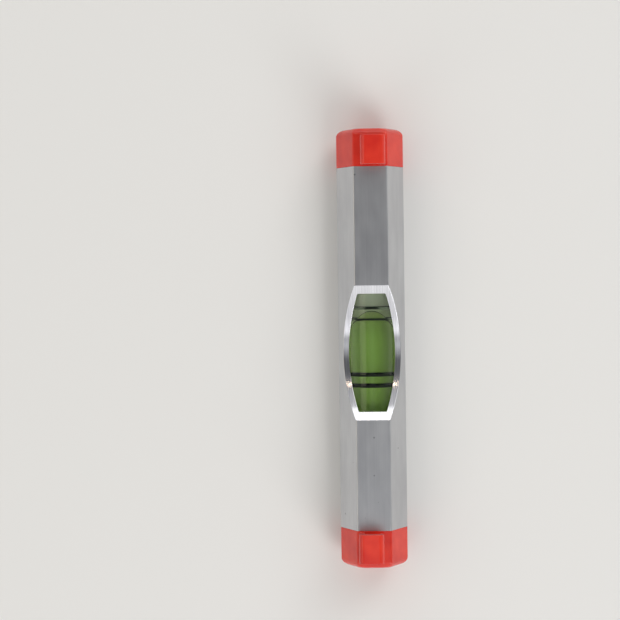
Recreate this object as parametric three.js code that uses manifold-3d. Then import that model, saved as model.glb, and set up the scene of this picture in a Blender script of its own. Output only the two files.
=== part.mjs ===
// Line level: a hexagonal aluminium tube with a scooped window, a vial of green spirit with four
// sight rings, and a moulded cap with a line hook at each end.
// Millimetres. X runs along the level, +Z is up and is the side of the window and the hooks.
// The level lies on its back facet, and the origin is the middle of that facet's length.

import * as THREE from 'three';
import { mergeVertices } from 'three/addons/utils/BufferGeometryUtils.js';
import Module from 'manifold-3d';

const wasm = await Module();
wasm.setup();

// Tube
const tubeLength = 63.0;
const tubeAcrossFlats = 10.2;
const tubeWall = 0.9;
const tubeCornerRadius = 0.4;
const tubeBoreCornerRadius = 0.2;

// Window: a scoop milled by a round cutter whose axis lies across the tube
const windowLength = 23.3;
const windowDepth = 3.6;
const windowCentreX = -0.7;

// End caps, each one moulding with its spigot and its hook
const capLength = 6.6;
const capEndRadius = 1.2;
const spigotClearance = 0.1;
const spigotGap = 1.1;
const spigotLeadIn = 0.5;
const spigotRoot = 0.5;
const coreDiameter = 5.4;
const coreFloor = 3.6;

// Line hook, a bent finger over the line's seat
const hookLength = 5.0;
const hookSetback = 0.2;
const hookSeatWidth = 3.3;
const hookSeatHeight = 2.1;
const hookPostWidth = 1.0;
const hookFingerHeight = 1.3;
const hookLipWidth = 0.7;
const hookLipDrop = 0.5;
const hookOuterRadius = 0.9;
const hookInnerRadius = 0.4;
const hookTipRadius = 0.3;
const hookRoot = 0.8;

// Vial: places along it are counted from the middle of its sight rings
const vialCentreX = 0.2;
const vialClearance = 0.1;
const vialSolidEnd = 12.5;
const vialOpenEnd = 21.2;
const vialEdgeChamfer = 0.4;
const cavityWallThickness = 1.1;
const cavityCrownRadius = 900.0;
const cavityNoseReach = 6.3;
const cavityNoseLength = 4.0;

// Filling plug
const plugLength = 2.0;
const plugSocketWall = 0.8;
const plugClearance = 0.05;
const plugChamfer = 0.3;

// Sight rings
const innerRingPlace = 4.87;
const outerRingPlace = 6.8;
const ringWidth = 0.36;
const ringDepth = 0.16;
const ringClearance = 0.02;

// Spirit and bubble
const fluidClearance = 0.05;
const bubbleLength = 7.4;
const bubbleWidth = 4.4;
const bubbleHeight = 2.5;
const bubbleClearance = 0.1;
const bubblePocketClearance = 0.06;

// Cement beds behind the vial's ends
const cementLength = 2.2;
const cementClearance = 0.1;
const cementMeniscus = 0.5;

// Cutters run past what they cut by this much
const overrun = 1.0;

// Points of an outline nearer than this are one point
const weldDistance = 0.001;

// Counts of facets
const cornerSteps = 4;
const capEdgeSteps = 5;
const hookSteps = 5;
const turnSteps = 36;
const cutterSteps = 240;
const crownSteps = 5;
const noseSteps = 8;
const bubbleEndSteps = 6;
const meniscusSteps = 4;

// Places that follow from the sizes above
const axisHeight = tubeAcrossFlats / 2;
const topFacetHeight = tubeAcrossFlats;
const boreAcrossFlats = tubeAcrossFlats - 2 * tubeWall;
const tubeEndX = tubeLength / 2;
const spigotAcrossFlats = boreAcrossFlats - 2 * spigotClearance;
const vialRadius = boreAcrossFlats / 2 - vialClearance;
const cavityRadius = vialRadius - cavityWallThickness;
const socketRadius = vialRadius - plugSocketWall;
const cavityFloorX = plugLength - vialOpenEnd;
const ringPlaces = [outerRingPlace, innerRingPlace, -innerRingPlace, -outerRingPlace];
const bubbleRestX = cavityFloorX + bubbleClearance + bubbleLength / 2;
const bubbleCrown = cavityRadius - cavityFloorX ** 2 / (2 * cavityCrownRadius) - bubbleClearance;

// The spigots stop short of the cement behind whichever end of the vial lies farther out
const cementReach = Math.max(vialOpenEnd - vialCentreX, vialSolidEnd + vialCentreX) + cementLength;
const spigotLength = tubeEndX - cementReach - spigotGap;

const finishes = {
  aluminium: new THREE.MeshStandardMaterial({ color: '#9a9b9d', roughness: 0.42, metalness: 1.0 }),
  capPlastic: new THREE.MeshStandardMaterial({ color: '#cf3224', roughness: 0.32, metalness: 0.0 }),
  acrylic: new THREE.MeshStandardMaterial({ color: '#dfe6dc', roughness: 0.05, metalness: 0.0 }),
  spirit: new THREE.MeshStandardMaterial({ color: '#5f9a35', roughness: 0.1, metalness: 0.0 }),
  air: new THREE.MeshStandardMaterial({ color: '#eef4e8', roughness: 0.05, metalness: 0.0 }),
  ringInk: new THREE.MeshStandardMaterial({ color: '#151a14', roughness: 0.6, metalness: 0.0 }),
  cement: new THREE.MeshStandardMaterial({ color: '#e6e1d2', roughness: 0.9, metalness: 0.0 }),
};

// Solids and meshes

function solidOf(geometry) {
  const bare = geometry.index ? geometry.toNonIndexed() : geometry.clone();
  bare.deleteAttribute('normal');
  bare.deleteAttribute('uv');
  const merged = mergeVertices(bare);
  return new wasm.Manifold(new wasm.Mesh({
    numProp: 3,
    vertProperties: merged.attributes.position.array,
    triVerts: new Uint32Array(merged.index.array),
  }));
}

function geometryOf(solid) {
  const mesh = solid.getMesh();
  const geometry = new THREE.BufferGeometry();
  geometry.setAttribute('position', new THREE.BufferAttribute(mesh.vertProperties, mesh.numProp));
  geometry.setIndex(new THREE.BufferAttribute(mesh.triVerts, 1));
  geometry.computeVertexNormals();
  return geometry;
}

function makeMesh(name, solid, finish) {
  const mesh = new THREE.Mesh(geometryOf(solid), finish);
  mesh.name = name;
  return mesh;
}

// A hexagon with a flat at the top and the bottom and round corners, drawn in the plane across
// the level: the shape's x is the level's Y and the shape's y its height over the axis.
function hexagonPoints(acrossFlats, cornerRadius, Outline) {
  const outline = new Outline();
  const cornerCentre = (acrossFlats / 2 - cornerRadius) / Math.cos(Math.PI / 6);
  for (let corner = 0; corner < 6; corner += 1) {
    const angle = corner * Math.PI / 3;
    outline.absarc(
      cornerCentre * Math.cos(angle),
      cornerCentre * Math.sin(angle),
      cornerRadius,
      angle - Math.PI / 6,
      angle + Math.PI / 6,
      false,
    );
  }
  outline.closePath();
  return outline;
}

// An extrusion along the level from startX, of an outline drawn across it
function extrudeAlongX(shape, startX, length, curveSegments) {
  const geometry = new THREE.ExtrudeGeometry(shape, { depth: length, bevelEnabled: false, curveSegments });
  geometry.rotateX(Math.PI / 2);
  geometry.rotateZ(Math.PI / 2);
  geometry.translate(startX, 0, 0);
  return geometry;
}

// A solid whose sections across the level all have one outline, drawn at a size of its own at each
// station: a station is [place along X, size as a share of the outline's]. Stations run towards +X.
function lofted(shape, stations) {
  const outline = shape.getPoints(cornerSteps);
  if (outline.at(-1).distanceTo(outline[0]) < weldDistance) outline.pop();
  const positions = [stations[0][0], 0, 0];
  for (const [x, sizeShare] of stations) {
    for (const point of outline) positions.push(x, point.x * sizeShare, point.y * sizeShare);
  }
  positions.push(stations.at(-1)[0], 0, 0);
  const count = outline.length;
  const lastCentre = 1 + stations.length * count;
  const lastRing = lastCentre - count;
  const triangles = [];
  for (let index = 0; index < count; index += 1) {
    const next = (index + 1) % count;
    triangles.push(0, 1 + next, 1 + index);
    triangles.push(lastCentre, lastRing + index, lastRing + next);
    for (let ring = 1; ring < lastRing; ring += count) {
      triangles.push(ring + index, ring + next, ring + count + next);
      triangles.push(ring + index, ring + count + next, ring + count + index);
    }
  }
  const geometry = new THREE.BufferGeometry();
  geometry.setAttribute('position', new THREE.Float32BufferAttribute(positions, 3));
  geometry.setIndex(triangles);
  return solidOf(geometry);
}

// A turned piece round the X axis: each point is [place along X, radius]
function turned(points) {
  const profile = points.map(([x, radius]) => new THREE.Vector2(radius, x));
  const geometry = new THREE.LatheGeometry(profile, turnSteps);
  geometry.rotateZ(-Math.PI / 2);
  return solidOf(geometry);
}

// Tube

function makeTube() {
  const section = hexagonPoints(tubeAcrossFlats, tubeCornerRadius, THREE.Shape);
  section.holes.push(hexagonPoints(boreAcrossFlats, tubeBoreCornerRadius, THREE.Path));
  const blank = solidOf(extrudeAlongX(section, -tubeEndX, tubeLength, cornerSteps));

  // The cutter's radius follows from the chord and the depth that it leaves in the top facet
  const cutterRadius = (windowLength ** 2 / 4 + windowDepth ** 2) / (2 * windowDepth);
  const cutter = new THREE.CylinderGeometry(
    cutterRadius,
    cutterRadius,
    2 * tubeAcrossFlats,
    cutterSteps,
  );
  cutter.translate(windowCentreX, 0, topFacetHeight - axisHeight - windowDepth + cutterRadius);
  return blank.subtract(solidOf(cutter));
}

// End cap at the +X end, as it leaves the mould: block, spigot, hook and core

function makeCapBlock() {
  const section = hexagonPoints(tubeAcrossFlats, tubeCornerRadius, THREE.Shape);
  const stations = [[tubeEndX, 1]];
  for (let step = 0; step <= capEdgeSteps; step += 1) {
    const angle = Math.PI / 2 * step / capEdgeSteps;
    const drawnIn = capEndRadius * (1 - Math.cos(angle));
    const x = tubeEndX + capLength - capEndRadius * (1 - Math.sin(angle));
    stations.push([x, (axisHeight - drawnIn) / axisHeight]);
  }
  return lofted(section, stations);
}

function makeSpigot() {
  const section = hexagonPoints(spigotAcrossFlats, tubeBoreCornerRadius, THREE.Shape);
  const start = tubeEndX - spigotLength;
  const tipShare = 1 - 2 * spigotLeadIn / spigotAcrossFlats;
  return lofted(section, [[start, tipShare], [start + spigotLeadIn, 1], [tubeEndX + spigotRoot, 1]]);
}

// The hook's outline as seen along the level: shape x is the level's Y, shape y the height over
// the cap's top facet. Its post stands on the -Y side and its mouth opens on the +Y side.
function hookOutline() {
  const seatEdge = hookSeatWidth / 2;
  const postEdge = seatEdge + hookPostWidth;
  const crown = hookSeatHeight + hookFingerHeight;
  const shoulder = crown - hookOuterRadius;
  const lipFoot = hookSeatHeight - hookLipDrop;
  const outline = new THREE.Shape();
  outline.moveTo(-postEdge, -hookRoot);
  outline.lineTo(-postEdge, shoulder);
  outline.absarc(hookOuterRadius - postEdge, shoulder, hookOuterRadius, Math.PI, Math.PI / 2, true);
  outline.lineTo(seatEdge - hookOuterRadius, crown);
  outline.absarc(seatEdge - hookOuterRadius, shoulder, hookOuterRadius, Math.PI / 2, 0, true);
  outline.lineTo(seatEdge, lipFoot + hookTipRadius);
  outline.absarc(seatEdge - hookTipRadius, lipFoot + hookTipRadius, hookTipRadius, 0, -Math.PI / 2, true);
  outline.lineTo(seatEdge - hookLipWidth, lipFoot);
  outline.lineTo(seatEdge - hookLipWidth, hookSeatHeight);
  outline.lineTo(hookInnerRadius - seatEdge, hookSeatHeight);
  outline.absarc(
    hookInnerRadius - seatEdge,
    hookSeatHeight - hookInnerRadius,
    hookInnerRadius,
    Math.PI / 2,
    Math.PI,
    false,
  );
  outline.lineTo(-seatEdge, -hookRoot);
  outline.closePath();
  return outline;
}

function makeHook() {
  const geometry = extrudeAlongX(hookOutline(), tubeEndX + hookSetback, hookLength, hookSteps);
  geometry.translate(0, 0, topFacetHeight - axisHeight);
  return solidOf(geometry);
}

function makeCap() {
  const coreEnd = tubeEndX + capLength - coreFloor;
  const core = turned([
    [tubeEndX - spigotLength - overrun, 0],
    [tubeEndX - spigotLength - overrun, coreDiameter / 2],
    [coreEnd, coreDiameter / 2],
    [coreEnd, 0],
  ]);
  return makeCapBlock().add(makeSpigot()).add(makeHook()).subtract(core);
}

// Vial: everything here is turned round its own axis, with the sight rings' middle at X zero

// The cavity's wall from the filling end to the nose, as [place, radius], drawn in by a margin.
// A long arc crowns it, so that the bubble rests in the middle, and a parabola rounds its nose.
function cavityWall(margin) {
  const points = [];
  const crownEnd = cavityNoseReach - cavityNoseLength;
  const noseRadius = cavityRadius - crownEnd ** 2 / (2 * cavityCrownRadius);
  for (let step = 0; step <= crownSteps; step += 1) {
    const x = cavityFloorX + margin + (crownEnd - cavityFloorX - margin) * step / crownSteps;
    points.push([x, cavityRadius - x ** 2 / (2 * cavityCrownRadius) - margin]);
  }
  for (let step = noseSteps - 1; step >= 0; step -= 1) {
    const share = step / noseSteps;
    const x = cavityNoseReach - margin - (cavityNoseLength - margin) * share ** 2;
    points.push([x, (noseRadius - margin) * share]);
  }
  return points;
}

function makeBarrel() {
  const outside = [[vialSolidEnd, 0], [vialSolidEnd, vialRadius - vialEdgeChamfer]];
  outside.push([vialSolidEnd - vialEdgeChamfer, vialRadius]);
  for (const place of ringPlaces) {
    outside.push([place + ringWidth / 2, vialRadius]);
    outside.push([place + ringWidth / 2, vialRadius - ringDepth]);
    outside.push([place - ringWidth / 2, vialRadius - ringDepth]);
    outside.push([place - ringWidth / 2, vialRadius]);
  }
  outside.push([vialEdgeChamfer - vialOpenEnd, vialRadius]);
  outside.push([-vialOpenEnd, vialRadius - vialEdgeChamfer]);
  const socket = [[-vialOpenEnd, socketRadius], [cavityFloorX, socketRadius]];
  return turned([...outside, ...socket, ...cavityWall(0)].reverse());
}

function makePlug() {
  const radius = socketRadius - plugClearance;
  return turned([
    [-vialOpenEnd, 0],
    [-vialOpenEnd, radius - plugChamfer],
    [plugChamfer - vialOpenEnd, radius],
    [cavityFloorX, radius],
    [cavityFloorX, 0],
  ]);
}

function makeRing(place) {
  const halfWidth = ringWidth / 2 - ringClearance;
  const innerRadius = vialRadius - ringDepth + ringClearance;
  return turned([
    [place - halfWidth, innerRadius],
    [place - halfWidth, vialRadius],
    [place + halfWidth, vialRadius],
    [place + halfWidth, innerRadius],
    [place - halfWidth, innerRadius],
  ]);
}

// A long bubble with round ends, grown by a margin: a turned profile drawn out across the vial
// and lifted until its crown meets the top of the cavity
function bubbleBlank(margin) {
  const halfHeight = bubbleHeight / 2 + margin;
  const halfWidth = bubbleWidth / 2 + margin;
  const halfLength = bubbleLength / 2 + margin;
  const straight = halfLength - halfWidth;
  const profile = [];
  for (let step = 0; step <= bubbleEndSteps; step += 1) {
    const angle = Math.PI / 2 * step / bubbleEndSteps;
    profile.push(new THREE.Vector2(halfHeight * Math.sin(angle), -straight - halfWidth * Math.cos(angle)));
  }
  for (let step = bubbleEndSteps; step >= 0; step -= 1) {
    const angle = Math.PI / 2 * step / bubbleEndSteps;
    profile.push(new THREE.Vector2(halfHeight * Math.sin(angle), straight + halfWidth * Math.cos(angle)));
  }
  const geometry = new THREE.LatheGeometry(profile, turnSteps);
  geometry.rotateZ(-Math.PI / 2);
  geometry.scale(1, halfWidth / halfHeight, 1);
  geometry.translate(bubbleRestX, 0, bubbleCrown - bubbleHeight / 2);
  return solidOf(geometry);
}

function makeBubble() {
  const bore = turned([
    [-vialOpenEnd, 0],
    [-vialOpenEnd, bubbleCrown],
    [vialSolidEnd, bubbleCrown],
    [vialSolidEnd, 0],
  ]);
  return bubbleBlank(0).intersect(bore);
}

// The spirit leaves a well for the bubble: the bubble's own form, open to the top of the cavity
// over the bubble's outline in plan
function makeFluid() {
  const filled = turned([[cavityFloorX + fluidClearance, 0], ...cavityWall(fluidClearance)]);
  const halfWidth = bubbleWidth / 2;
  const straight = bubbleLength / 2 - halfWidth;
  const plan = new THREE.Shape();
  plan.absarc(straight, 0, halfWidth, -Math.PI / 2, Math.PI / 2, false);
  plan.absarc(-straight, 0, halfWidth, Math.PI / 2, 1.5 * Math.PI, false);
  plan.closePath();
  const well = new THREE.ExtrudeGeometry(plan, {
    depth: cavityRadius,
    bevelEnabled: false,
    curveSegments: 2 * bubbleEndSteps,
  });
  well.translate(bubbleRestX, 0, bubbleCrown - bubbleHeight / 2);
  return filled.subtract(bubbleBlank(bubblePocketClearance)).subtract(solidOf(well));
}

// A bed of cement behind one end of the vial, from startX towards +X, with its free face hollowed
// as the cement shrinks
function makeCement(startX) {
  const section = hexagonPoints(boreAcrossFlats - 2 * cementClearance, tubeBoreCornerRadius, THREE.Shape);
  const bed = solidOf(extrudeAlongX(section, startX, cementLength, cornerSteps));
  const hollow = [];
  const rim = vialRadius - vialEdgeChamfer;
  for (let step = 0; step <= meniscusSteps; step += 1) {
    const radius = rim * step / meniscusSteps;
    hollow.push([startX + cementLength - cementMeniscus * (1 - (radius / rim) ** 2), radius]);
  }
  hollow.push([startX + cementLength + overrun, rim], [startX + cementLength + overrun, 0]);
  return bed.subtract(turned(hollow));
}

// Assembly

const level = new THREE.Group();
level.name = 'line_level';

// Everything is drawn round the tube's axis, which lies at half the height over the back facet
const onAxis = new THREE.Group();
onAxis.position.z = axisHeight;
level.add(onAxis);

onAxis.add(makeMesh('body_tube', makeTube(), finishes.aluminium));

// One moulding serves both ends, so the hooks' mouths face opposite sides
const capSolid = makeCap();
for (const [name, turn] of [['end_cap_right', 0], ['end_cap_left', Math.PI]]) {
  const cap = makeMesh(name, capSolid, finishes.capPlastic);
  cap.rotation.z = turn;
  onAxis.add(cap);
}

const vial = new THREE.Group();
vial.position.x = vialCentreX;
onAxis.add(vial);

vial.add(makeMesh('vial_barrel', makeBarrel(), finishes.acrylic));
vial.add(makeMesh('vial_end_plug', makePlug(), finishes.acrylic));
vial.add(makeMesh('vial_fluid', makeFluid(), finishes.spirit));
vial.add(makeMesh('vial_bubble', makeBubble(), finishes.air));
ringPlaces.forEach((place, index) => {
  vial.add(makeMesh(`sight_ring_${index + 1}`, makeRing(place), finishes.ringInk));
});

const rightCement = makeMesh('vial_cement_right', makeCement(vialSolidEnd), finishes.cement);
const leftCement = makeMesh('vial_cement_left', makeCement(vialOpenEnd), finishes.cement);
leftCement.rotation.z = Math.PI;
vial.add(rightCement, leftCement);

export default level;
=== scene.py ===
"""A 3 inch line level on a pale studio floor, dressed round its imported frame.

The level lies on its back facet with its length along X and its window and line hooks up. Lengths are
in metres: a size that a maker would give in millimetres is written as that number times MM.
"""

import logging
import math
from collections.abc import Callable, Iterable, Sequence
from dataclasses import dataclass, field
from enum import Enum

import bmesh
import bpy
from mathutils import Matrix, Vector


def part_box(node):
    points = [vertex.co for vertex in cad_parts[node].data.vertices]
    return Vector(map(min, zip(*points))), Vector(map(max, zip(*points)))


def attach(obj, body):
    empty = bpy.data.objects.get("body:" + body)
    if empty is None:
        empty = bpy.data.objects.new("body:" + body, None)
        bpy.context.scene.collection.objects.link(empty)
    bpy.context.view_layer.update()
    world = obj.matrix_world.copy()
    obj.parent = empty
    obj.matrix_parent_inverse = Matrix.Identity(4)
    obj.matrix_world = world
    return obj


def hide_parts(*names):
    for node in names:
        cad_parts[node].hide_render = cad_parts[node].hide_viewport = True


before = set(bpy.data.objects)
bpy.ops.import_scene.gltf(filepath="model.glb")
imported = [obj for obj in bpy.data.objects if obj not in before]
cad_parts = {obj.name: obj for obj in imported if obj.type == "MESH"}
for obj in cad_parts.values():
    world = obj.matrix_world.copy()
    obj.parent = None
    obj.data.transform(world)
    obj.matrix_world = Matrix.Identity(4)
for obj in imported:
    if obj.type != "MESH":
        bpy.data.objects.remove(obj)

MM = 0.001
ACRYLIC_IOR = 1.49
SPIRIT_IOR = 1.45
# Most of a noise's values lie in this range
NOISE_RANGE = (0.3, 0.7)
# From this angle in degrees on, the edge between two faces stays sharp
SHARP_FROM = 32.0
# A hexagon's half width across its flats, as a share of its reach to a corner
FLATS_SHARE = math.cos(math.pi / 6)
WHITE = "#ffffff"

log = logging.getLogger("line_level")

Profile = list[tuple[float, float]]
Colour = tuple[float, float, float, float]
Range = tuple[float, float]
Object = bpy.types.Object
Tree = bpy.types.NodeTree
Node = bpy.types.Node
Source = bpy.types.NodeSocket | Node


def linear(hex_colour: str) -> Colour:
    """Turns an sRGB colour to the linear values that shaders take.

    Args:
        hex_colour: the colour as #rrggbb.

    Returns:
        Linear red, green and blue, and an alpha of one.
    """
    shares = [int(hex_colour[i : i + 2], 16) / 255 for i in (1, 3, 5)]
    red, green, blue = (s / 12.92 if s <= 0.04045 else ((s + 0.055) / 1.055) ** 2.4 for s in shares)
    return (red, green, blue, 1.0)


def add_node(
    tree: Tree, kind: str, inputs: dict[str | int, object] | None = None, **settings: object
) -> Node:
    """Adds a node with its settings and its inputs.

    Args:
        tree: the tree that gets the node.
        kind: the node's type name.
        inputs: what goes into each input, by the input's name or number. A socket is linked, a
            node is linked by its first output, and anything else is the input's own value.
        **settings: the node's own properties.

    Returns:
        The new node.
    """
    node = tree.nodes.new(kind)
    for name, value in settings.items():
        setattr(node, name, value)
    for key, value in (inputs or {}).items():
        source = value.outputs[0] if isinstance(value, Node) else value
        if isinstance(source, bpy.types.NodeSocket):
            tree.links.new(source, node.inputs[key])
        else:
            node.inputs[key].default_value = source
    return node


def faded(
    tree: Tree, value: Source, reach: Range, first: Source | Colour, second: Source | Colour
) -> Source:
    """Adds a fade from one colour to another over a reach of a value.

    Args:
        tree: the node tree.
        value: the value.
        reach: the values at which the fade starts and ends.
        first: the colour up to the start.
        second: the colour from the end on.

    Returns:
        The colour.
    """
    inputs = {"Value": value, "From Min": reach[0], "From Max": reach[1]}
    share = add_node(tree, "ShaderNodeMapRange", inputs)
    # A mix has sockets of one name for each type, so the colour's are known by their numbers
    mix = add_node(tree, "ShaderNodeMix", {0: share, 6: first, 7: second}, data_type="RGBA")
    return mix.outputs[2]


# Finishes


class Finish:
    """A surface finish that builds one node material and keeps it for every piece that wears it."""

    name: str

    def shade(self, tree: Tree, place: Source) -> dict[str, object]:
        """Adds the finish's nodes.

        Args:
            tree: the material's node tree.
            place: the object coordinates, in metres.

        Returns:
            What goes into the material output, by the output's input names.
        """
        raise NotImplementedError

    def material(self) -> bpy.types.Material:
        """Builds this finish's material when it is first asked for.

        Returns:
            The material.
        """
        made = bpy.data.materials.get(self.name)
        if made is None:
            made = bpy.data.materials.new(self.name)
            made.use_nodes = True
            tree = made.node_tree
            tree.nodes.clear()
            place = add_node(tree, "ShaderNodeTexCoord").outputs["Object"]
            add_node(tree, "ShaderNodeOutputMaterial", self.shade(tree, place))
        return made


@dataclass(frozen=True)
class Grain:
    """A noise that has its own size along X, Y and Z, and a number of finer octaves."""

    size: tuple[float, float, float]
    detail: float = 3.0
    roughness: float = 0.55

    def value(self, tree: Tree, place: Source) -> Source:
        """Adds the noise.

        Args:
            tree: the material's node tree.
            place: the object coordinates.

        Returns:
            The noise's value, from 0 to 1.
        """
        scale = [1 / length for length in self.size]
        scaled = add_node(tree, "ShaderNodeMapping", {"Vector": place, "Scale": scale})
        inputs = {"Vector": scaled, "Scale": 1.0, "Detail": self.detail, "Roughness": self.roughness}
        return add_node(tree, "ShaderNodeTexNoise", inputs).outputs["Fac"]


# The grains that a pattern adds up, each with its weight
Pattern = tuple[tuple[Grain, float], ...]
# Values of the shader's own sockets, by the sockets' names
Constants = tuple[tuple[str, object], ...]

METAL: Constants = (("Metallic", 1.0),)
# Ink and card mirror less than the shader's default
DULL: Constants = (("Specular IOR Level", 0.2),)
# The lines that the die leaves along the skin and along the bore
SKIN_LINES = Grain((40 * MM, 0.16 * MM, 0.16 * MM))
BORE_LINES = Grain((30 * MM, 0.2 * MM, 0.2 * MM), detail=2.0)
# The etch's uneven bite, and its pits, drawn coarser than real ones, which are too fine to show
ETCH_CLOUD = Grain((9 * MM, 3 * MM, 3 * MM))
ETCH_PITS = Grain((0.12 * MM,) * 3, detail=1.0)
# The cutter's tooth lines along the scoop, and the waves of its run-out across it
TOOTH_LINES = Grain((12 * MM, 0.11 * MM, 12 * MM), detail=2.0)
RUN_OUT = Grain((0.9 * MM, 6 * MM, 6 * MM), detail=1.0)
# A moulding's drift of colour, its orange peel and its sinks
COLOUR_DRIFT = Grain((4 * MM,) * 3, detail=2.0)
ORANGE_PEEL = Grain((0.35 * MM,) * 3, detail=1.0)
SINKS = Grain((3.2 * MM,) * 3, detail=0.0)
# The waves that the lathe's tool leaves along the barrel
TOOL_WAVES = Grain((0.6 * MM, 5 * MM, 5 * MM), detail=1.0)
# The ink's uneven patches
INK_PATCHES = Grain((0.5 * MM, 0.8 * MM, 0.8 * MM))
# The grain of gypsum, drawn coarser than the real one, which is too fine to show
CHALK = Grain((0.4 * MM,) * 3, detail=4.0)


@dataclass(frozen=True)
class Grained(Finish):
    """An opaque finish whose colour, roughness and relief each follow a pattern of grains.

    The colour runs from deep to light over the pattern's tone_range, and the relief's height over
    depth metres, with its slopes times steepness.
    """

    name: str
    deep: str
    light: str
    tone: Pattern
    sheen: Pattern
    roughness: Range
    tone_range: Range = NOISE_RANGE
    relief: Pattern = ()
    depth: float = 0.0
    steepness: float = 1.0
    constants: Constants = ()

    def marks_and_painted_light(self, tree: Tree, place: Source, colour: Source) -> Source:
        """Returns the colour as it is: a finish with marks or painted light over its grain adds them
        here.
        """
        return colour

    def shade(self, tree: Tree, place: Source) -> dict[str, object]:
        """Adds the grains, and the shader that they drive.

        Args:
            tree: the material's node tree.
            place: the object coordinates, in metres.

        Returns:
            What goes into the material output, by the output's input names.
        """
        grains = dict.fromkeys(grain for grain, _ in (*self.tone, *self.sheen, *self.relief))
        values = {grain: grain.value(tree, place) for grain in grains}

        def summed(pattern: Pattern) -> Source:
            """Adds a pattern's grains up.

            Args:
                pattern: the pattern.

            Returns:
                The sum.
            """
            total: Source | float = 0.0
            for grain, weight in pattern:
                inputs = {0: values[grain], 1: weight, 2: total}
                total = add_node(tree, "ShaderNodeMath", inputs, operation="MULTIPLY_ADD")
            return total

        tone = faded(tree, summed(self.tone), self.tone_range, linear(self.deep), linear(self.light))
        limits = dict(zip(("From Min", "From Max", "To Min", "To Max"), NOISE_RANGE + self.roughness))
        rough = add_node(tree, "ShaderNodeMapRange", {"Value": summed(self.sheen), **limits})
        inputs = {"Base Color": self.marks_and_painted_light(tree, place, tone), "Roughness": rough}
        if self.relief:
            height = summed(self.relief)
            bump = {"Height": height, "Distance": self.depth, "Strength": self.steepness}
            inputs["Normal"] = add_node(tree, "ShaderNodeBump", bump)
        return {"Surface": add_node(tree, "ShaderNodeBsdfPrincipled", inputs | dict(self.constants))}


@dataclass(frozen=True)
class SatinAnodised(Grained):
    """Extruded 6063 aluminium, etched and clear anodised.

    The etch gives a soft, slightly cloudy satin grey, and the die leaves faint lines along the
    length. Handling leaves a few small dark nicks, whose reach is a share of their spacing.
    """

    name: str = "satin_anodised_aluminium"
    deep: str = "#bebfc2"
    light: str = "#cbccce"
    tone: Pattern = ((ETCH_CLOUD, 1.0), (SKIN_LINES, 0.5))
    tone_range: Range = (0.55, 0.95)
    sheen: Pattern = ((ETCH_CLOUD, 1.0),)
    roughness: Range = (0.33, 0.38)
    relief: Pattern = ((SKIN_LINES, 1.0), (ETCH_PITS, 0.35))
    depth: float = 0.004 * MM
    constants: Constants = METAL
    nick: str = "#96979a"
    nick_spacing: float = 4.0 * MM
    nick_reach: Range = (0.025, 0.05)

    def marks_and_painted_light(self, tree: Tree, place: Source, colour: Source) -> Source:
        """Adds sparse nicks.

        Args:
            tree: the material's node tree.
            place: the object coordinates.
            colour: the colour of the grain.

        Returns:
            The colour with the nicks in it.
        """
        inputs = {"Vector": place, "Scale": 1 / self.nick_spacing, "Randomness": 1.0}
        spots = add_node(tree, "ShaderNodeTexVoronoi", inputs)
        return faded(tree, spots.outputs["Distance"], self.nick_reach, linear(self.nick), colour)


@dataclass(frozen=True)
class MilledAluminium(Grained):
    """Bare aluminium straight from the cutter, brighter than the anodised skin round it.

    The teeth leave fine lines along the scoop, and the cutter's slight run-out leaves soft waves
    across it.
    """

    name: str = "milled_aluminium"
    deep: str = "#d2d2d6"
    light: str = "#eeeef1"
    tone: Pattern = ((TOOTH_LINES, 1.0),)
    sheen: Pattern = ((TOOTH_LINES, 1.0),)
    roughness: Range = (0.1, 0.16)
    relief: Pattern = ((TOOTH_LINES, 1.0), (RUN_OUT, 0.8))
    depth: float = 0.004 * MM
    constants: Constants = METAL


@dataclass(frozen=True)
class ExtrudedBore(Grained):
    """The tube's inside, as it left the die's mandrel: bright bare aluminium with a soft sheen."""

    name: str = "extruded_bore_aluminium"
    deep: str = "#f6f6f4"
    light: str = "#fdfdfb"
    tone: Pattern = ((BORE_LINES, 1.0),)
    sheen: Pattern = ((BORE_LINES, 1.0),)
    roughness: Range = (0.33, 0.39)
    relief: Pattern = ((BORE_LINES, 1.0),)
    depth: float = 0.002 * MM
    constants: Constants = METAL


@dataclass(frozen=True)
class MouldedCapPlastic(Grained):
    """Glossy injection-moulded ABS in orange red.

    Thin edges glow a little, and the skin has the faint orange peel and slight sinks of a small
    moulding.
    """

    name: str = "moulded_abs_orange_red"
    deep: str = "#cd2a1f"
    light: str = "#dd3a28"
    tone: Pattern = ((COLOUR_DRIFT, 1.0),)
    tone_range: Range = (0.35, 0.65)
    sheen: Pattern = ((COLOUR_DRIFT, 1.0),)
    roughness: Range = (0.13, 0.18)
    relief: Pattern = ((SINKS, 1.0), (ORANGE_PEEL, 0.03))
    depth: float = 0.02 * MM
    steepness: float = 0.6
    constants: Constants = (
        ("IOR", 1.53),
        ("Subsurface Weight", 0.12),
        ("Subsurface Radius", (1.0, 0.25, 0.12)),
        ("Subsurface Scale", 0.5 * MM),
    )


@dataclass(frozen=True)
class ClearAcrylic(Finish):
    """Cast acrylic, turned and polished: clear, with the faintest waviness left by the tool."""

    name: str = "polished_acrylic"
    # The faint yellow-green tint is painted light: it stands in for green light that the spirit sends
    # into the clear acrylic
    tint: str = "#f7ffeb"
    ior: float = ACRYLIC_IOR
    depth: float = 0.004 * MM
    steepness: float = 0.5

    def shade(self, tree: Tree, place: Source) -> dict[str, object]:
        """Adds the tool's waves to a clear solid.

        Args:
            tree: the material's node tree.
            place: the object coordinates, in metres.

        Returns:
            What goes into the material output, by the output's input names.
        """
        height = TOOL_WAVES.value(tree, place)
        waves = {"Height": height, "Distance": self.depth, "Strength": self.steepness}
        inputs = {
            "Base Color": linear(self.tint),
            "Roughness": 0.0,
            "IOR": self.ior,
            "Transmission Weight": 1.0,
            "Normal": add_node(tree, "ShaderNodeBump", waves),
        }
        return {"Surface": add_node(tree, "ShaderNodeBsdfPrincipled", inputs)}


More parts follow.
